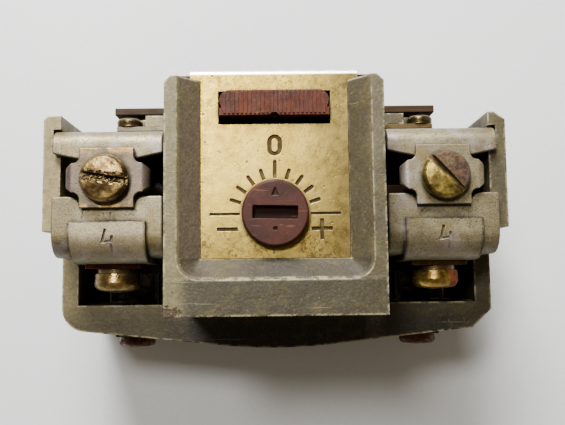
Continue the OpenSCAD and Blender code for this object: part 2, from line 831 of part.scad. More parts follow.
// The insulating plate between a heater and its bimetal.
module insulator(side) {
  color("tan")
    on_side(side) box(30.2, 31, cell_y0 + 7.6, 7.4, floor_t, 25.6);
}

// A bimetal strip, curled round the pin at its foot and narrow at its tip.
module bimetal(side) {
  color("darkkhaki")
    translate([side * bimetal_x, 0, 0])
      difference() {
        union() {
          box(-0.4, 0.4, lever_y - 4, lever_y + 4, bimetal_pin_z + 1, 32);
          box(-0.4, 0.4, lever_y - 1.5, lever_y + 1.5, 31, 36.6);
          rod_along_y(0, bimetal_pin_z, 1.9, lever_y - 4, lever_y + 4);
        }
        rod_along_y(0, bimetal_pin_z, 1.05, lever_y - 5, lever_y + 5);
      }
}

// The bracket riveted to the back wall, with the pin that the bimetal stands on.
module bimetal_bracket(side) {
  color("silver")
    translate([side * bimetal_x, 0, 0]) {
      box(-4, 4, lever_y - 5.6, lever_y + 5.6, floor_t, floor_t + 1.2);
      for (y = [lever_y - 5.6, lever_y + 4.4])
        box(-2, 2, y, y + 1.2, floor_t + 1, bimetal_pin_z + 2);
      rod_along_y(0, bimetal_pin_z, 1, lever_y - 5, lever_y + 5);
      for (s = [-1, 1])
        rod_along_z(s * 2.9, lever_y - 3.6, 0.9, floor_t + 1, floor_t + 1.9);
    }
}

// The load terminal: a tail inside the cell and a plate outside the sill.
module load_terminal(side) {
  face_y = -20.7;
  color("darkgray")
    on_side(side)
      difference() {
        union() {
          box(25.2, 32.8, face_y, cell_y0 + 6, load_z - 1.2, load_z);
          box(25.2, 32.8, face_y, face_y + 1, load_z - 1.2, load_z + 7.4);
        }
        rod_along_y(29, load_z + 3.5, 2.1, face_y - 1, face_y + 2);
        rod_along_z(29, cell_y0 + 3.5, 1.5, load_z - 3, load_z + 3);
      }
}

module load_screw(side) {
  color("saddlebrown")
    translate([side * 29, -20.7, load_z + 3.5])
      rotate([90, 0, 0]) pan_screw(3.7, 2.4, screw_r, 3.8, side * 20);
}

// The screw that joins a heater's rear lug to its load terminal.
module link_screw(side) {
  color("goldenrod")
    translate([side * 29, cell_y0 + 3.5, load_z + 1.1])
      pan_screw(2.6, 1.8, 1.45, 3.2, side * 15);
}

housing();
cover_plate();
cover_screws();
front_plate();
mounting_inserts();
setting_knob();
eccentric_shaft();
knob_clip();
knob_washer();
reset_button();
reset_springs();
support_plate();
setting_carriage();
carriage_rivets();
compensator();
compensator_pin();
pusher();
latch_lever();
latch_pin();
trip_rod();
trip_spring();
contact_bridge();
contact_spring();
fixed_contact(-1);  // fixed_contact_left
fixed_contact(1);  // fixed_contact_right
contact_screw(-1);  // contact_screw_left
contact_screw(1);  // contact_screw_right
line_terminal(-1);  // line_terminal_left
line_terminal(1);  // line_terminal_right
line_nut(-1);  // line_nut_left
line_nut(1);  // line_nut_right
saddle(-1);  // saddle_left
saddle(1);  // saddle_right
line_screw(-1);  // line_screw_left
line_screw(1);  // line_screw_right
heater(-1);  // heater_left
heater(1);  // heater_right
heater_clamp(-1);  // heater_clamp_left
heater_clamp(1);  // heater_clamp_right
lock_washer(-1);  // lock_washer_left
lock_washer(1);  // lock_washer_right
heater_screw(-1);  // heater_screw_left
heater_screw(1);  // heater_screw_right
insulator(-1);  // insulator_left
insulator(1);  // insulator_right
bimetal(-1);  // bimetal_left
bimetal(1);  // bimetal_right
bimetal_bracket(-1);  // bimetal_bracket_left
bimetal_bracket(1);  // bimetal_bracket_right
load_terminal(-1);  // load_terminal_left
load_terminal(1);  // load_terminal_right
load_screw(-1);  // load_screw_left
load_screw(1);  // load_screw_right
link_screw(-1);  // link_screw_left
link_screw(1);  // link_screw_right
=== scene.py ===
"""Looks of a two-pole thermal overload relay, lying on its back on a pale table.

The CAD frame gives every shape and place. This script adds rounded edges, the
procedural materials, small surface details, the table, the lights and the camera.
Lengths here are in millimetres unless a name says otherwise, and MM turns them
into the metres that Blender works in.
"""

import math

import bpy
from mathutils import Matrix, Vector


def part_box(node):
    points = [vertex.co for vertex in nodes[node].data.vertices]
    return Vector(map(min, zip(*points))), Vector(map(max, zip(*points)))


MM = 0.001
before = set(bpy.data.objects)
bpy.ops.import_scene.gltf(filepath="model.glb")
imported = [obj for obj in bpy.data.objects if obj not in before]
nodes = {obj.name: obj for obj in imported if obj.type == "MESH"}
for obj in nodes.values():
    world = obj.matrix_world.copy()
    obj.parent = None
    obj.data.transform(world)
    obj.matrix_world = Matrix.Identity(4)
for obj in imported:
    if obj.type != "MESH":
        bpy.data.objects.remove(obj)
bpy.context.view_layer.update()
scene = bpy.context.scene
SIDES = (("left", -1), ("right", 1))


def low(node):
    """The lowest corner of a CAD node, in millimetres."""
    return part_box(node)[0] / MM


def high(node):
    """The highest corner of a CAD node, in millimetres."""
    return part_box(node)[1] / MM


def centre(node):
    """The middle of a CAD node's box, in millimetres."""
    return (low(node) + high(node)) / 2


# ---- shaders -------------------------------------------------------------------


def linear(colour):
    """A colour given as 0 to 255 in sRGB, as the linear RGBA that shaders take."""
    channels = []
    for value in colour:
        v = value / 255
        channels.append(v / 12.92 if v <= 0.04045 else ((v + 0.055) / 1.055) ** 2.4)
    return (*channels, 1.0)


def scaled_colour(colour, factor):
    return tuple(min(255, int(c * factor)) for c in colour)


class Shader:
    """A node-based material whose patterns are measured in millimetres on the part."""

    def __init__(self, name, roughness=0.5, metallic=0.0, specular=0.5):
        self.material = bpy.data.materials.new(name)
        self.material.use_nodes = True
        self.tree = self.material.node_tree
        self.tree.nodes.clear()
        self.bsdf = self.node("ShaderNodeBsdfPrincipled")
        self.bsdf.inputs["Roughness"].default_value = roughness
        self.bsdf.inputs["Metallic"].default_value = metallic
        self.bsdf.inputs["Specular IOR Level"].default_value = specular
        output = self.node("ShaderNodeOutputMaterial")
        self.link(self.bsdf.outputs["BSDF"], output.inputs["Surface"])
        coordinates = self.node("ShaderNodeTexCoord")
        self.mm = self.scaled(coordinates.outputs["Object"], 1 / MM)
        split = self.node("ShaderNodeSeparateXYZ")
        self.link(self.mm, split.inputs[0])
        self.x, self.y, self.z = split.outputs

    def node(self, kind, **settings):
        made = self.tree.nodes.new(kind)
        for key, value in settings.items():
            setattr(made, key, value)
        return made

    def link(self, source, socket):
        self.tree.links.new(source, socket)

    def feed(self, socket, value):
        """Puts a number, a colour or another node's output into a socket."""
        if isinstance(value, bpy.types.NodeSocket):
            self.link(value, socket)
        elif isinstance(value, tuple) and len(value) == 3 and socket.type == "RGBA":
            socket.default_value = linear(value)
        else:
            socket.default_value = value

    def scaled(self, vector, factor):
        made = self.node("ShaderNodeVectorMath", operation="SCALE")
        self.feed(made.inputs[0], vector)
        made.inputs["Scale"].default_value = factor
        return made.outputs[0]

    def place(self, period, seed=0, stretch=(1, 1, 1)):
        """The point on the part, in periods of a pattern."""
        made = self.node("ShaderNodeMapping")
        self.link(self.mm, made.inputs["Vector"])
        made.inputs["Scale"].default_value = [s / period for s in stretch]
        made.inputs["Location"].default_value = (seed * 7.31, seed * 3.17, seed * 5.73)
        return made.outputs[0]

    def noise(self, period, seed=0, detail=4, rough=0.55, stretch=(1, 1, 1), distortion=0):
        made = self.node("ShaderNodeTexNoise")
        self.link(self.place(period, seed, stretch), made.inputs["Vector"])
        made.inputs["Scale"].default_value = 1
        made.inputs["Detail"].default_value = detail
        made.inputs["Roughness"].default_value = rough
        made.inputs["Distortion"].default_value = distortion
        return made.outputs["Fac"]

    def cells(self, period, seed=0, stretch=(1, 1, 1)):
        made = self.node("ShaderNodeTexVoronoi", feature="F1")
        self.link(self.place(period, seed, stretch), made.inputs["Vector"])
        made.inputs["Scale"].default_value = 1
        return made.outputs["Distance"]

    def math(self, operation, a, b=0.0):
        made = self.node("ShaderNodeMath", operation=operation, use_clamp=False)
        self.feed(made.inputs[0], a)
        self.feed(made.inputs[1], b)
        return made.outputs[0]

    def off(self, value, middle):
        """How far a coordinate is from a value, on either side."""
        return self.math("ABSOLUTE", self.math("SUBTRACT", value, middle))

    def along(self, point, direction):
        """How far the place lies from a point (x, y), measured in one direction."""
        return self.math(
            "ADD",
            self.math("MULTIPLY", self.math("SUBTRACT", self.x, point[0]), direction[0]),
            self.math("MULTIPLY", self.math("SUBTRACT", self.y, point[1]), direction[1]))

    def both(self, *masks):
        result = masks[0]
        for mask in masks[1:]:
            result = self.math("MULTIPLY", result, mask)
        return result

    def either(self, *masks):
        result = masks[0]
        for mask in masks[1:]:
            result = self.math("MAXIMUM", result, mask)
        return result

    def band(self, value, start, end, to_min=0.0, to_max=1.0):
        """A smooth step from start to end, where end may be the smaller one."""
        made = self.node("ShaderNodeMapRange", interpolation_type="SMOOTHSTEP")
        self.feed(made.inputs["Value"], value)
        made.inputs["From Min"].default_value = start
        made.inputs["From Max"].default_value = end
        made.inputs["To Min"].default_value = to_min
        made.inputs["To Max"].default_value = to_max
        return made.outputs["Result"]

    def spots(self, period, radius, seed=0, stretch=(1, 1, 1), ragged=0.25):
        """Scattered ragged spots, with radius as a share of the period."""
        wobble = self.math("MULTIPLY", self.noise(period * 0.4, seed + 3, 3), ragged)
        distance = self.math("ADD", self.cells(period, seed, stretch), wobble)
        edge = radius + ragged * 0.5
        return self.band(distance, edge, edge - 0.12)

    def edge(self, radius, strength=0.22):
        """Where a sharp convex or concave edge is within the radius."""
        geometry = self.node("ShaderNodeNewGeometry")
        dot = self.node("ShaderNodeVectorMath", operation="DOT_PRODUCT")
        self.link(self.rounded(radius), dot.inputs[0])
        self.link(geometry.outputs["Normal"], dot.inputs[1])
        return self.band(dot.outputs["Value"], 0.98, 1 - strength)

    def rounded(self, radius):
        """Normals that look rounded at the edges of a piece with sharp ones."""
        bevel = self.node("ShaderNodeBevel", samples=6)
        bevel.inputs["Radius"].default_value = radius * MM
        return bevel.outputs[0]

    def hollow(self, distance, start=0.25, end=0.75):
        """Where nearby surfaces close the point in: a mask for grime and for painted shade."""
        ao = self.node("ShaderNodeAmbientOcclusion", samples=6)
        ao.inputs["Distance"].default_value = distance * MM
        return self.band(self.math("SUBTRACT", 1.0, ao.outputs["AO"]), start, end)

    def deep(self, top=31, bottom=23):
        """How far down in the case a point lies: a mask for dust and for painted shade."""
        return self.band(self.z, top, bottom)

    def mix(self, factor, a, b, blend="MIX"):
        made = self.node("ShaderNodeMix", data_type="RGBA", blend_type=blend)
        self.feed(made.inputs[0], factor)
        self.feed(made.inputs[6], a)
        self.feed(made.inputs[7], b)
        return made.outputs[2]

    def ramp(self, value, *stops):
        """Colours at even steps of a value from 0 to 1."""
        made = self.node("ShaderNodeValToRGB")
        self.feed(made.inputs[0], value)
        elements = made.color_ramp.elements
        while len(elements) < len(stops):
            elements.new(0.5)
        for i, (element, stop) in enumerate(zip(elements, stops)):
            element.position = 0.25 + 0.5 * i / (len(stops) - 1)
            element.color = linear(stop)
        return made.outputs[0]

    def bump(self, height, depth, under=None):
        """Relief of the given depth where the height goes from 0 to 1."""
        made = self.node("ShaderNodeBump")
        made.inputs["Strength"].default_value = 1
        made.inputs["Distance"].default_value = depth * MM
        self.feed(made.inputs["Height"], height)
        if under is not None:
            self.link(under, made.inputs["Normal"])
        return made.outputs[0]

    def finish(self, colour, roughness=None, metallic=None, normal=None):
        self.feed(self.bsdf.inputs["Base Color"], colour)
        if roughness is not None:
            self.feed(self.bsdf.inputs["Roughness"], roughness)
        if metallic is not None:
            self.feed(self.bsdf.inputs["Metallic"], metallic)
        if normal is not None:
            self.link(normal, self.bsdf.inputs["Normal"])
        return self.material


def case_moulding():
    """Grey-olive moulding: cloudy, dusty, darker low down and rubbed pale on edges, with painted
    light and shade.
    """
    s = Shader("case_moulding", specular=0.3)
    across = s.math("ABSOLUTE", s.x)
    case_top = high("housing").z
    plate_low = low("front_plate")
    plate_x = high("front_plate").x
    tower_x = 16.5
    cell_x = 37
    cloud = s.noise(13, 1, 5, 0.65)
    base = s.ramp(cloud, (47, 42, 27), (66, 60, 41), (85, 78, 56))
    # the left side is painted lighter, painted light, and the low side darker, painted shade
    base = s.mix(s.both(s.band(s.x, -14, -24), 0.7), base, (142, 128, 86))
    base = s.mix(s.both(s.band(s.y, -12, -19), 0.7), base, (40, 37, 25))
    # the face of the tower's lower rim is painted darker, painted shade, and its left rim paler,
    # a painted highlight
    face = s.band(s.z, case_top - 1, case_top - 0.2)
    rim = s.both(s.band(s.y, plate_low.y - 2.8, plate_low.y - 3.6), face)
    base = s.mix(s.both(rim, 0.7), base, (38, 35, 23))
    base = s.mix(s.both(s.band(s.x, -12.5, -15), face, 0.45), base, (128, 120, 82))
    # the dish's slopes are browner on the left and greyer elsewhere, and the left slope is
    # painted lighter and the lower one darker: painted light and shade
    in_dish = s.both(s.band(across, plate_x + 2.8, plate_x + 2.4),
                     s.band(s.z, plate_low.z, plate_low.z + 0.5),
                     s.band(s.y, plate_low.y - 3.2, plate_low.y - 2.8),
                     s.band(s.z, case_top - 0.3, case_top - 0.7))
    base = s.mix(s.both(in_dish, 0.75), base, (60, 54, 42))
    base = s.mix(s.both(in_dish, s.band(s.x, -8, -10), 0.85), base, (85, 75, 63))
    lower = s.band(s.y, plate_low.y + 0.3, plate_low.y - 0.3)
    base = s.mix(s.both(in_dish, lower, 0.8), base, (41, 38, 32))
    # the low case is darker and browner
    low_down = s.band(s.z, 34, 25)
    base = s.mix(s.both(low_down, s.band(s.noise(20, 8, 3), 0.2, 0.9, 0.6, 0.95)),
                 base, (40, 34, 20))
    # painted shadow of the tower, cast on the low case just below it
    tower_shadow = s.both(s.band(s.z, 37, 31), s.band(s.y, -15, -19), s.band(s.x, -25, -10))
    base = s.mix(s.both(tower_shadow, 0.92), base, (12, 10, 6))
    stain = s.band(s.noise(4.5, 4, 6, 0.7, distortion=0.6), 0.50, 0.68)
    base = s.mix(s.both(stain, 0.4), base, (86, 76, 38))
    mottle = s.band(s.noise(1.1, 17, 5, 0.75), 0.36, 0.66)
    base = s.mix(s.both(mottle, 0.3), base, (38, 33, 20))
    grain = s.noise(0.4, 5, 3, 0.6)
    base = s.mix(s.band(grain, 0.42, 0.66, 0, 0.25), base, (32, 28, 18))
    base = s.mix(s.band(grain, 0.44, 0.3, 0, 0.12), base, (132, 126, 96))
    specks = s.spots(2.1, 0.07, 6)
    base = s.mix(s.both(specks, 0.6), base, (168, 158, 126))
    dark_specks = s.spots(2.4, 0.10, 9)
    base = s.mix(s.both(dark_specks, 0.7), base, (30, 24, 15))
    # grime and painted shade darken the hollows
    grime_and_shade = s.hollow(2.4, 0.3, 0.8)
    base = s.mix(s.both(grime_and_shade, 0.8), base, (24, 19, 11))
    # the bottoms of the two side cells are painted black, painted shade
    in_cell = s.both(s.band(across, tower_x - 0.1, tower_x + 0.1),
                     s.band(across, cell_x + 0.1, cell_x - 0.1),
                     s.band(s.y, -14.1, -13.9), s.band(s.y, 17.0, 16.7), s.band(s.z, 29.6, 22))
    base = s.mix(s.both(in_cell, 0.9), base, (9, 7, 5))
    # edges rubbed pale, most of all the lower lip of the dish
    wear = s.noise(2.2, 11, 6, 0.75)
    worn = s.both(s.edge(0.7, 0.14), s.band(wear, 0.43, 0.55))
    lip = s.both(s.band(s.off(s.y, plate_low.y - 3.1), 0.42, 0.1),
                 s.band(s.z, case_top - 0.8, case_top - 0.4),
                 s.band(across, 15.8, 6, 0.25, 1),
                 s.band(s.noise(2.4, 18, 6, 0.8), 0.47, 0.54))
    worn = s.either(worn, s.both(lip, 0.5))
    base = s.mix(s.both(worn, 0.75), base, (178, 168, 134))
    # one low corner of the tower is chipped down to brown filler
    corner = s.node("ShaderNodeVectorMath", operation="DISTANCE")
    s.link(s.mm, corner.inputs[0])
    corner.inputs[1].default_value = (-tower_x, plate_low.y - 8.5, case_top)
    ragged = s.band(s.noise(0.8, 20, 4), 0.3, 0.7, -0.9, 0.9)
    gone = s.math("ADD", corner.outputs["Value"], ragged)
    broken = s.band(gone, 2.1, 1.7)
    base = s.mix(s.both(broken, 0.9), base, (44, 29, 14))
    chips = s.both(s.edge(1.1, 0.2), s.band(s.noise(3.1, 19, 5, 0.7), 0.60, 0.64))
    base = s.mix(s.both(chips, 0.8), base, (52, 38, 22))
    scratch = s.band(s.noise(0.9, 12, 3, 0.6, (0.05, 1.6, 0.4)), 0.66, 0.74)
    base = s.mix(s.both(scratch, 0.2), base, (150, 141, 112))
    rough = s.band(s.noise(2.2, 13, 5, 0.65), 0.3, 0.7, 0.36, 0.58)
    normal = s.bump(grain, 0.05, s.rounded(0.3))
    normal = s.bump(s.noise(4.5, 14, 3), 0.14, normal)
    normal = s.bump(s.either(worn, scratch), 0.03, normal)
    normal = s.bump(s.either(chips, broken), -0.12, normal)
    return s.finish(base, rough, None, normal)


def plated_steel(name, light, mid, shade, speck, seed, corroded=0.5, speck_size=0.55,
                 shine=0.85, gloss=0.36, soften=0):
    """Dull nickel or tin plate with dark pitting that comes in patches."""
    s = Shader(name)
    cloud = s.noise(9, seed, 5, 0.6)
    base = s.ramp(cloud, shade, mid, light)
    base = s.mix(s.band(s.noise(2.4, seed + 1, 5, 0.65), 0.45, 0.65, 0, 0.4), base, shade)
    patch = s.band(s.noise(5, seed + 2, 4, 0.6), 0.62 - 0.25 * corroded, 0.72)
    fine = s.spots(speck_size, 0.24, seed + 3, ragged=0.5)
    coarse = s.spots(speck_size * 2.8, 0.13, seed + 4, ragged=0.4)
    pits = s.either(s.both(fine, s.band(patch, 0, 1, 0.12 + 0.3 * corroded, 0.95)),
                    s.both(coarse, 0.75))
    base = s.mix(s.both(pits, 0.75), base, speck)
    sand = s.noise(0.26, seed + 11, 3, 0.7)
    base = s.mix(s.band(sand, 0.50, 0.60, 0, 0.12 + 0.7 * corroded), base, speck)
    base = s.mix(s.band(sand, 0.42, 0.30, 0, 0.3 * corroded), base, light)
    crust = s.band(s.noise(1.1, seed + 6, 5, 0.7), 0.60, 0.72)
    base = s.mix(s.both(crust, 0.4), base, speck)
    # grime and painted shade darken the seams, the hollows and the parts deep in the case
    seam_grime_and_shade = s.both(s.hollow(1.1, 0.14, 0.4), s.band(s.noise(1.4, seed + 12, 3), 0.3, 0.5, 0.5, 1))
    grime_and_shade = s.either(s.both(seam_grime_and_shade, 0.85), s.hollow(1.6, 0.3, 0.85), s.deep())
    base = s.mix(s.both(grime_and_shade, 0.88), base, scaled_colour(speck, 0.4))
    # edges painted pale: rubbed wear and painted highlight
    pale_edges = s.both(s.edge(0.3), s.band(s.noise(0.9, seed + 7), 0.4, 0.6))
    base = s.mix(s.both(pale_edges, 0.6), base, scaled_colour(light, 1.15))
    dull = s.either(pits, s.both(crust, 0.6), grime_and_shade)
    rough = s.band(dull, 0, 1, gloss, 0.8)
    rough = s.math("ADD", rough, s.band(s.noise(1.5, seed + 8, 4), 0.3, 0.7, -0.04, 0.10))
    metallic = s.band(dull, 0, 1, shine, 0.2)
    normal = s.bump(sand, 0.012 + 0.03 * corroded, s.rounded(soften) if soften else None)
    normal = s.bump(s.math("SUBTRACT", 1.0, pits), 0.05, normal)
    normal = s.bump(s.noise(5, seed + 10, 3), 0.08, normal)
    return s, base, rough, metallic, normal


def front_steel():
    """The brassy front plate: greyer and darker to the right as painted shade, rusted low down,
    marks filled dark.
    """
    s, base, rough, metallic, normal = plated_steel(
        "front_steel", (196, 172, 90), (176, 151, 68), (150, 125, 50),
        (62, 44, 20), 21, corroded=0.08, speck_size=0.55, shine=0.94, gloss=0.35,
        soften=0.1)
    plate_low = low("front_plate")
    plate_high = high("front_plate")
    # painted shade: the plate darkens and greys towards the right
    base = s.mix(s.band(s.x, 0, 12, 0, 0.72), base, (84, 74, 52))
    # corrosion gathers at the lower end of the plate and by its left edge
    end = s.either(s.band(s.y, plate_low.y + 8, plate_low.y + 1),
                   s.both(s.band(s.x, -11, -15), 0.6), s.both(s.band(s.y, 13, 17), 0.5))
    gather = s.band(s.noise(3.0, 34, 4, 0.6), 0.42, 0.56, 0.15, 1)
    rust = s.both(end, gather, s.band(s.noise(0.55, 31, 4, 0.7), 0.50, 0.56))
    base = s.mix(s.both(rust, 0.92), base, (50, 34, 12))
    stain = s.both(end, s.band(s.noise(2.6, 33, 4), 0.42, 0.66))
    base = s.mix(s.both(stain, 0.55), base, (118, 98, 34))
    # painted shade: the plate darkens smoothly towards its low end
    low_end = s.band(s.y, plate_low.y + 9, plate_low.y + 2, 0, 0.4)
    base = s.mix(low_end, base, (116, 98, 58))
    scuff = s.both(s.band(s.noise(1.7, 35, 5, 0.7, distortion=1.2), 0.60, 0.66),
                   s.band(s.noise(6, 36, 2), 0.5, 0.6))
    base = s.mix(s.both(scuff, 0.6), base, (104, 82, 40))
    marks = s.both(s.band(s.z, plate_high.z - 0.03, plate_high.z - 0.10),
                   s.band(s.y, plate_high.y - 1.2, plate_high.y - 1.6))
    filled_dark = s.band(s.noise(1.2, 37, 4), 0.3, 0.5, 0.6, 0.92)
    base = s.mix(s.both(marks, filled_dark), base, (46, 34, 18))
    # the fold is painted near white, a painted highlight where the bend reflects the light
    fold_highlight = s.both(s.band(s.y, plate_high.y - 1.15, plate_high.y - 0.85),
                  s.band(s.z, plate_high.z - 1.6, plate_high.z - 0.9))
    base = s.mix(s.both(fold_highlight, 0.85), base, (236, 232, 228))
    rough = s.either(rough, s.both(marks, 0.75))
    return s.finish(base, rough, metallic, normal)


def tinned_strip():
    """Tinned terminal strips, heaters and the right saddle."""
    s, base, rough, metallic, normal = plated_steel(
        "tinned_strip", (146, 138, 112), (120, 111, 85), (92, 82, 56),
        (50, 41, 26), 41, corroded=0.7, speck_size=0.45, shine=0.55, gloss=0.42)
    # the left heater's lug is painted paler, painted light
    lug = s.both(s.band(s.x, low("heater_left").x - 0.1, low("heater_left").x + 0.1),
                 s.band(s.x, high("heater_left").x + 0.1, high("heater_left").x - 0.1),
                 s.band(s.y, 0.45, 0.3), s.band(s.y, -8, -3))
    base = s.mix(s.both(lug, 0.55), base, (108, 99, 84), "ADD")
    # the seams round the heaters' lugs are drawn as dark lines, and so are their stamped figures
    wobble = s.noise(1.2, 55, 4)
    for side, sign in SIDES:
        lug = f"heater_{side}"
        inner = s.band(s.x, low(lug).x - 0.2, low(lug).x + 0.05)
        outer = s.band(s.x, high(lug).x + 0.2, high(lug).x - 0.05)
        below = s.band(s.y, 0.55, 0.4)
        across = s.band(s.off(s.y, 0.42), 0.3, 0.05)
        walls = [s.band(s.off(s.x, x), 0.5, 0.1) for x in (low(lug).x, high(lug).x)]
        lines = s.either(s.both(across, inner, outer), s.both(s.either(*walls), below))
        base = s.mix(s.both(lines, s.band(wobble, 0.3, 0.6, 0.4, 0.9)), base, (34, 27, 16))
        top = high(lug).z
        figure = s.both(s.band(s.off(s.z, top - 0.4), 0.06, 0.03),
                        s.band(s.y, -3.2, -3.0), s.band(s.y, 0.38, 0.3),
                        s.band(s.off(s.x, centre(lug).x), 2, 1.8))
        # the foot of the figure runs out on to the bend, where it is only scratched
        foot = s.both(s.band(s.off(s.x, centre(lug).x + 0.78), 0.26, 0.12),
                      s.band(s.y, -4.8, -4.5), s.band(s.y, -3.1, -3.4),
                      s.band(s.z, top - 1.3, top - 1.2))
        base = s.mix(s.both(s.either(figure, foot), 0.8), base, (44, 33, 18))
    yellow = s.band(s.noise(4.2, 52, 4, 0.6, distortion=0.4), 0.5, 0.68)
    base = s.mix(s.both(yellow, 0.5), base, (104, 86, 36))
    violet = s.band(s.noise(5.5, 54, 3), 0.56, 0.7)
    base = s.mix(s.both(violet, 0.35), base, (150, 140, 148))
    return s.finish(base, rough, metallic, normal)


def saddle_metal():
    """The left saddle, browner than the right one."""
    s, base, rough, metallic, normal = plated_steel(
        "saddle_metal", (116, 104, 80), (90, 79, 61), (68, 58, 44),
        (46, 36, 24), 81, corroded=0.5, speck_size=0.45, shine=0.6, gloss=0.38)
    middle = centre("saddle_left")
    half = high("saddle_left") - middle
    x = s.off(s.x, middle.x)
    y = s.off(s.y, middle.y)
    # lilac oxide towards the sides, and a painted yellow highlight along the ends
    sides = s.both(s.band(x, half.x - 3.0, half.x - 1.0), s.band(s.noise(2.4, 86, 4), 0.35, 0.6))
    base = s.mix(s.both(sides, 0.6), base, (82, 70, 74))
    end_highlights = s.both(s.band(y, half.y - 1.4, half.y - 0.2),
                  s.band(s.noise(1.6, 87, 5, 0.7), 0.42, 0.62))
    base = s.mix(s.both(end_highlights, 0.7), base, (172, 138, 70))
    return s.finish(base, rough, metallic, normal)


def moulded_brown(name, light, dark, seed, gloss=0.38, hollow_darkness=0.75, slot=False,
                  rubbed=(122, 76, 50)):
    """Reddish-brown phenolic moulding, rubbed pale on its edges."""
    s = Shader(name, specular=0.2)
    base = s.mix(s.band(s.noise(3.4, seed, 5, 0.6), 0.3, 0.7), dark, light)
    grain = s.noise(0.22, seed + 1, 2)
    base = s.mix(s.band(grain, 0.35, 0.75, 0, 0.35), base, scaled_colour(dark, 0.6))
    fleck = s.spots(0.9, 0.10, seed + 2)
    base = s.mix(s.both(fleck, 0.5), base, (136, 92, 68))
    # grime and painted shade darken the hollows
    grime_and_shade = s.hollow(0.9, 0.4, 0.95)
    base = s.mix(s.both(grime_and_shade, hollow_darkness), base, (30, 17, 11))
    if slot:
        # the screwdriver slot is painted dark inside, painted shade, and the marks are filled
        # dark with dirt
        top = high("setting_knob").z
        filled_dark = s.both(s.band(s.z, top - 0.25, top - 0.4), s.band(s.z, top - 1.3, top - 1.25))
        inside = s.both(filled_dark, s.band(s.math("ABSOLUTE", s.x), 3.9, 3.7))
        base = s.mix(s.both(inside, 0.85), base, (20, 10, 5))
        grime_and_shade = s.either(grime_and_shade, inside)
    worn = s.both(s.edge(0.22, 0.3), s.band(s.noise(0.8, seed + 4), 0.38, 0.6))
    base = s.mix(s.both(worn, 0.5), base, rubbed)
    scratch = s.band(s.noise(0.5, seed + 5, 3, 0.6, (0.12, 1.4, 1)), 0.62, 0.70)
    base = s.mix(s.both(scratch, 0.16), base, (134, 96, 76))
    rough = s.band(s.noise(1.2, seed + 6, 4), 0.3, 0.7, gloss, gloss + 0.2)
    rough = s.either(rough, s.both(grime_and_shade, 0.9))
    normal = s.bump(grain, 0.015)
    normal = s.bump(s.noise(2.4, seed + 7, 3), 0.05, normal)
    normal = s.bump(scratch, -0.012, normal)
    return s.finish(base, rough, None, normal)


def laminate():
    """Brown paper laminate: fine layers on its cut edges and a dull waxy face."""
    s = Shader("laminate", specular=0.12)
    base = s.ramp(s.noise(14, 61, 5, 0.6), (35, 23, 12), (36, 24, 13), (38, 26, 14))
    layers = s.noise(0.16, 62, 2, 0.5, (0.03, 1, 0.03))
    base = s.mix(s.band(layers, 0.35, 0.65, 0, 0.45), base, (60, 42, 22))
    fibre = s.noise(0.6, 63, 4, 0.6, (0.25, 1, 1.4))
    base = s.mix(s.band(fibre, 0.40, 0.75, 0, 0.22), base, (30, 17, 9))
    worn = s.both(s.edge(0.3), s.band(s.noise(1.1, 64), 0.35, 0.6))
    base = s.mix(s.both(worn, 0.45), base, (138, 98, 62))
    rough = s.band(s.noise(2.5, 65, 4), 0.3, 0.7, 0.4, 0.6)
    normal = s.bump(fibre, 0.02)
    normal = s.bump(layers, 0.012, normal)
    return s.finish(base, rough, None, normal)


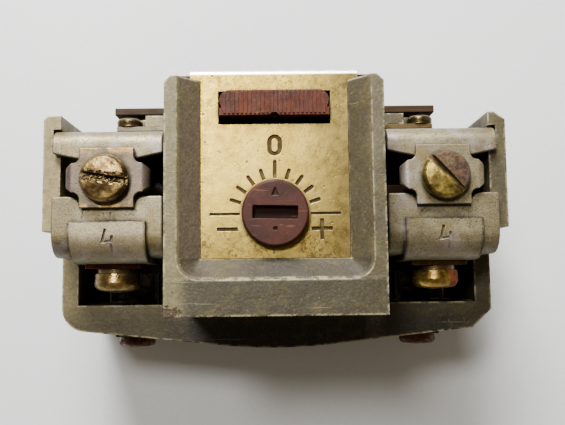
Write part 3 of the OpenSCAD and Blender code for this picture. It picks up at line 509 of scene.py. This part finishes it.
def tarnished(name, bright, dull, rust, seed, rusty=0.4, side=None, no_deep_darkening=False,
              pale=14, battered=None, soften=0):
    """Yellow-passivated or brass screw: bright where rubbed, dull and rusty elsewhere."""
    s = Shader(name)
    cloud = s.noise(2.6, seed, 5, 0.6, distortion=0.3)
    base = s.mix(s.band(cloud, 0.40, 0.68), dull, bright)
    spread = s.noise(2.1, seed + 1, 5, 0.65, distortion=0.4)
    if side is not None:
        # rust lies on the half that faces the given direction
        spread = s.math("ADD", s.math("MULTIPLY", s.along(*side), 0.9), spread)
        rust_mask = s.band(spread, 0.35, 0.95)
    else:
        rust_mask = s.band(spread, 0.72 - 0.3 * rusty, 0.80 - 0.2 * rusty)
    red = s.ramp(s.band(s.noise(1.0, seed + 2, 6, 0.8), 0.40, 0.60),
                 scaled_colour(rust, 0.4), rust, rust, rust,
                 (rust[0] + pale, rust[1] + pale, rust[2] + pale * 0.9))
    base = s.mix(s.both(rust_mask, 0.92), base, red)
    specks = s.spots(0.6, 0.18, seed + 3, ragged=0.5)
    base = s.mix(s.both(specks, 0.7), base, (46, 34, 20))
    film = s.band(s.noise(0.8, seed + 9, 5, 0.7), 0.50, 0.62)
    base = s.mix(s.both(film, 0.4), base, scaled_colour(dull, 0.8))
    # grime and painted shade darken the hollows, and the parts deep in the case unless the call
    # turns that off
    grime_and_shade = s.hollow(1.1, 0.3, 0.85)
    if not no_deep_darkening:
        grime_and_shade = s.either(grime_and_shade, s.deep())
    base = s.mix(s.both(grime_and_shade, 0.85), base, (22, 16, 9))
    pale_edges = s.both(s.edge(0.3), s.band(s.noise(0.7, seed + 4), 0.42, 0.62))
    base = s.mix(s.both(pale_edges, 0.6, s.math("SUBTRACT", 1.0, rust_mask)), base,
                 scaled_colour(bright, 1.2))
    torn = None
    if battered is not None:
        # a slipping screwdriver has torn the metal along both sides of the slot
        torn = s.both(s.band(s.math("ABSOLUTE", s.along(*battered)), 1.15, 0.65),
                      s.band(s.noise(0.9, seed + 10, 5, 0.7), 0.46, 0.56))
        base = s.mix(s.both(torn, 0.75), base, (62, 54, 34))
    dull_mask = s.either(rust_mask, s.both(specks, 0.6), grime_and_shade)
    rough = s.band(dull_mask, 0, 1, 0.27, 0.85)
    rough = s.math("ADD", rough, s.band(s.noise(0.9, seed + 5, 4), 0.3, 0.7, -0.04, 0.14))
    metallic = s.band(dull_mask, 0, 1, 0.92, 0.1)
    normal = s.bump(s.noise(0.3, seed + 6, 4), 0.02, s.rounded(soften) if soften else None)
    normal = s.bump(s.both(rust_mask, s.noise(0.55, seed + 7, 4)), 0.14, normal)
    normal = s.bump(s.noise(2.0, seed + 8, 3), 0.08, normal)
    if torn is not None:
        normal = s.bump(torn, -0.2, normal)
    return s.finish(base, rough, metallic, normal)


def clean_metal(name, light, dark, seed, roughness=0.34, grain=(1, 1, 1)):
    """Plated or drawn metal that has stayed inside the case, with light oxide."""
    s = Shader(name)
    base = s.mix(s.band(s.noise(4, seed, 5, 0.6), 0.3, 0.7), dark, light)
    lines = s.noise(0.3, seed + 1, 3, 0.6, grain)
    base = s.mix(s.band(lines, 0.4, 0.75, 0, 0.25), base, scaled_colour(dark, 0.7))
    spots = s.spots(1.2, 0.12, seed + 2)
    base = s.mix(s.both(spots, 0.5), base, (92, 76, 54))
    # grime and painted shade darken the hollows
    grime_and_shade = s.hollow(1.5, 0.35, 0.9)
    base = s.mix(s.both(grime_and_shade, 0.6), base, (44, 38, 30))
    rough = s.band(s.either(spots, grime_and_shade, s.both(lines, 0.4)), 0, 1, roughness, 0.7)
    normal = s.bump(lines, 0.012)
    return s.finish(base, rough, s.band(spots, 0, 1, 0.95, 0.4), normal)


def mica_board():
    """Pressed mica flakes of the board behind each heater."""
    s = Shader("mica_board", specular=0.5)
    flakes = s.cells(2.2, 91)
    base = s.ramp(flakes, (150, 128, 88), (176, 154, 112), (196, 176, 136))
    base = s.mix(s.band(s.noise(0.7, 92), 0.4, 0.7, 0, 0.4), base, (120, 98, 62))
    rough = s.band(flakes, 0.1, 0.8, 0.3, 0.55)
    return s.finish(base, rough, None, s.bump(flakes, 0.03))


def table_top():
    """A plain pale table with a faint paper tooth."""
    s = Shader("table_top", specular=0.3)
    base = s.mix(s.band(s.noise(60, 95, 3), 0.3, 0.7), (203, 206, 207), (197, 200, 202))
    fibre = s.noise(0.9, 96, 4, 0.6)
    base = s.mix(s.band(fibre, 0.35, 0.75, 0, 0.3), base, (186, 189, 192))
    return s.finish(base, s.band(fibre, 0.3, 0.7, 0.72, 0.85), None, s.bump(fibre, 0.02))


# ---- what each node is made of --------------------------------------------------


def bevel(node, width, segments=2, angle=32, joined=True):
    """Rounds a CAD node's sharp edges as modifiers, and leaves its mesh alone.

    Flat faces are joined first, except on pieces whose faces have many holes in them.
    """
    piece = nodes[node]
    mesh = piece.data
    if "custom_normal" in mesh.attributes:
        mesh.attributes.remove(mesh.attributes["custom_normal"])
    mesh.polygons.foreach_set("use_smooth", [True] * len(mesh.polygons))
    weld = piece.modifiers.new("weld", "WELD")
    weld.merge_threshold = 0.002 * MM
    if joined:
        flat = piece.modifiers.new("flat_faces", "DECIMATE")
        flat.decimate_type = "DISSOLVE"
        flat.angle_limit = math.radians(0.6)
    round_off = piece.modifiers.new("rounded_edges", "BEVEL")
    round_off.width = width * MM
    round_off.segments = segments
    round_off.limit_method = "ANGLE"
    round_off.angle_limit = math.radians(angle)
    round_off.use_clamp_overlap = False
    round_off.harden_normals = True
    round_off.miter_outer = "MITER_ARC"


def dress(names, material, width=0.12, segments=2, joined=True):
    """Gives nodes one material, and bevels of the given width if it isn't 0."""
    for name in names:
        nodes[name].data.materials.clear()
        nodes[name].data.materials.append(material)
        if width:
            bevel(name, width, segments, joined=joined)


def pair(*stems):
    """The left and right nodes of each stem."""
    return [f"{stem}_{side}" for stem in stems for side, _ in SIDES]


def assign_materials():
    dress(["housing"], case_moulding(), 0)
    dress(["cover_plate"], laminate(), 0.15)
    dress(["pusher"], nodes["cover_plate"].data.materials[0], 0.1)
    dress(["front_plate"], front_steel(), 0)
    dress(["setting_knob"],
          moulded_brown("knob_moulding", (58, 24, 14), (38, 15, 8), 101, 0.48, 0.9, slot=True),
          0.12, joined=False)
    dress(["reset_button"],
          moulded_brown("button_moulding", (64, 24, 7), (40, 14, 4), 111, 0.5, 0.45,
                        rubbed=(176, 84, 34)),
          0.06, joined=False)
    strip = tinned_strip()
    dress(pair("line_terminal"), strip, 0.3, 3)
    dress(["saddle_left"], saddle_metal(), 0.18)
    dress(["saddle_right"], strip, 0.18)
    dress(pair("heater"), strip, 0.07)
    dress(pair("load_terminal"), strip, 0.15)
    left = centre("line_screw_left")
    right = centre("line_screw_right")
    heater_right = centre("heater_screw_right")
    # the big screws keep the CAD mesh, and only their shading is rounded
    dress(["line_screw_left"],
          tarnished("line_screw_left", (148, 124, 74), (74, 57, 33), (58, 38, 20), 121, 0.4,
                    battered=((left.x, left.y), (0.13, 0.99)), soften=0.12), 0)
    dress(["line_screw_right"],
          tarnished("line_screw_right", (170, 150, 78), (84, 70, 34), (48, 23, 10), 131, 0.5,
                    side=((right.x, right.y), (0.66, 0.75)), pale=24, soften=0.12), 0)
    dress(["heater_screw_left"],
          tarnished("heater_screw_left", (156, 130, 80), (98, 80, 48), (58, 40, 22), 141, 0.5,
                    soften=0.12), 0)
    dress(["heater_screw_right"],
          tarnished("heater_screw_right", (200, 166, 84), (112, 90, 46), (150, 66, 4), 151, 0.5,
                    side=((heater_right.x + 1.6, heater_right.y), (0.8, 0.0)), pale=0,
                    soften=0.12), 0)
    dress(pair("load_screw"),
          tarnished("load_screw", (96, 70, 46), (66, 42, 26), (80, 40, 20), 181, 0.9,
                    no_deep_darkening=True, soften=0.12), 0)
    small_metal = (
        (["heater_clamp_left"], "heater_clamp_left",
         (104, 58, 40), (72, 36, 26), (88, 34, 22), 161, 0.6, 0.12),
        (["heater_clamp_right"], "heater_clamp_right",
         (112, 90, 56), (76, 60, 36), (72, 44, 24), 166, 0.3, 0.12),
        (pair("lock_washer"), "lock_washer",
         (136, 118, 88), (96, 78, 52), (98, 62, 38), 171, 0.4, 0.08),
        (pair("contact_screw"), "contact_screw",
         (110, 94, 62), (68, 56, 36), (54, 38, 24), 191, 0.3, 0.08),
        (pair("line_nut", "link_screw") + ["cover_screws"], "yellow_screws",
         (168, 142, 76), (112, 90, 48), (84, 56, 30), 201, 0.2, 0.08))
    for names, *look, width in small_metal:
        dress(names, tarnished(*look), width)
    brass = clean_metal("brass_parts", (104, 88, 56), (68, 56, 36), 211, 0.42)
    dress(["mounting_inserts", "contact_bridge", "fixed_contact_right"], brass, 0.08)
    tinned = clean_metal("tinned_contact", (104, 98, 84), (68, 62, 50), 216, 0.45)
    dress(["fixed_contact_left"], tinned, 0.08)
    zinc = clean_metal("mechanism_steel", (186, 184, 176), (140, 138, 130), 221)
    dress(["eccentric_shaft", "knob_clip", "knob_washer", "support_plate", "setting_carriage",
           "carriage_rivets", "compensator_pin", "latch_pin"] + pair("bimetal_bracket"),
          zinc, 0.06)
    wire = clean_metal("spring_wire", (150, 150, 148), (104, 104, 102), 231)
    dress(["reset_springs", "trip_spring", "contact_spring"], wire, 0)
    bimetal = clean_metal("bimetal_strip", (186, 178, 146), (140, 126, 96), 241, 0.3, (0.2, 1, 1))
    dress(["compensator"] + pair("bimetal"), bimetal, 0.06)
    dark = moulded_brown("lever_moulding", (70, 56, 44), (48, 38, 30), 251, 0.45)
    dress(["latch_lever", "trip_rod"], dark, 0.12)
    dress(pair("insulator"), mica_board(), 0.06)


# ---- table, light and camera ----------------------------------------------------


def add_table():
    """A floor that reaches past the horizon's haze, half in metres."""
    half = 30
    mesh = bpy.data.meshes.new("table")
    corners = [(-half, -half, 0), (half, -half, 0), (half, half, 0), (-half, half, 0)]
    mesh.from_pydata(corners, [], [(0, 1, 2, 3)])
    table = bpy.data.objects.new("table", mesh)
    mesh.materials.append(table_top())
    scene.collection.objects.link(table)


def add_area_light(name, place, target, size, power, colour):
    data = bpy.data.lights.new(name, "AREA")
    data.shape = "DISK"
    data.size = size
    data.energy = power
    data.color = colour
    lamp = bpy.data.objects.new(name, data)
    lamp.location = place
    lamp.rotation_euler = (Vector(target) - Vector(place)).to_track_quat("-Z", "Y").to_euler()
    scene.collection.objects.link(lamp)


def add_lights():
    """A window past the top edge, a small lamp up to the left, a dim warm room."""
    add_area_light("window", (-0.06, 0.32, 0.28), (0, 0, 0.03), 0.20, 7.0, (1.0, 0.99, 0.97))
    add_area_light("lamp", (-0.11, 0.15, 0.50), (0, 0, 0.04), 0.10, 1.9, (1.0, 0.98, 0.94))
    # the room is pale towards its walls, and warm and dim overhead
    world = bpy.data.worlds.new("room")
    world.use_nodes = True
    tree = world.node_tree
    background = tree.nodes["Background"]
    direction = tree.nodes.new("ShaderNodeTexCoord")
    split = tree.nodes.new("ShaderNodeSeparateXYZ")
    rise = tree.nodes.new("ShaderNodeMapRange")
    rise.interpolation_type = "SMOOTHSTEP"
    rise.inputs["From Min"].default_value = 0.12
    rise.inputs["From Max"].default_value = 0.6
    colour = tree.nodes.new("ShaderNodeMix")
    colour.data_type = "RGBA"
    colour.inputs[6].default_value = (0.60, 0.59, 0.57, 1)
    colour.inputs[7].default_value = (0.245, 0.190, 0.120, 1)
    tree.links.new(direction.outputs["Generated"], split.inputs[0])
    tree.links.new(split.outputs["Z"], rise.inputs["Value"])
    tree.links.new(rise.outputs["Result"], colour.inputs[0])
    tree.links.new(colour.outputs[2], background.inputs["Color"])
    background.inputs["Strength"].default_value = 1.0
    scene.world = world


def add_camera():
    """A camera close above the front face, tipped a little towards the low side."""
    data = bpy.data.cameras.new("camera")
    data.sensor_fit = "HORIZONTAL"
    data.sensor_width = 36
    data.lens = 46.5
    data.clip_start = 0.01
    data.clip_end = 20
    camera = bpy.data.objects.new("camera", data)
    camera.location = Vector((0.42, -10.2, 167.08)) * MM
    camera.rotation_euler = [math.radians(a) for a in (5.52, -0.28, -0.685)]
    scene.collection.objects.link(camera)
    scene.camera = camera


assign_materials()
add_table()
add_lights()
add_camera()

bpy.context.view_layer.update()
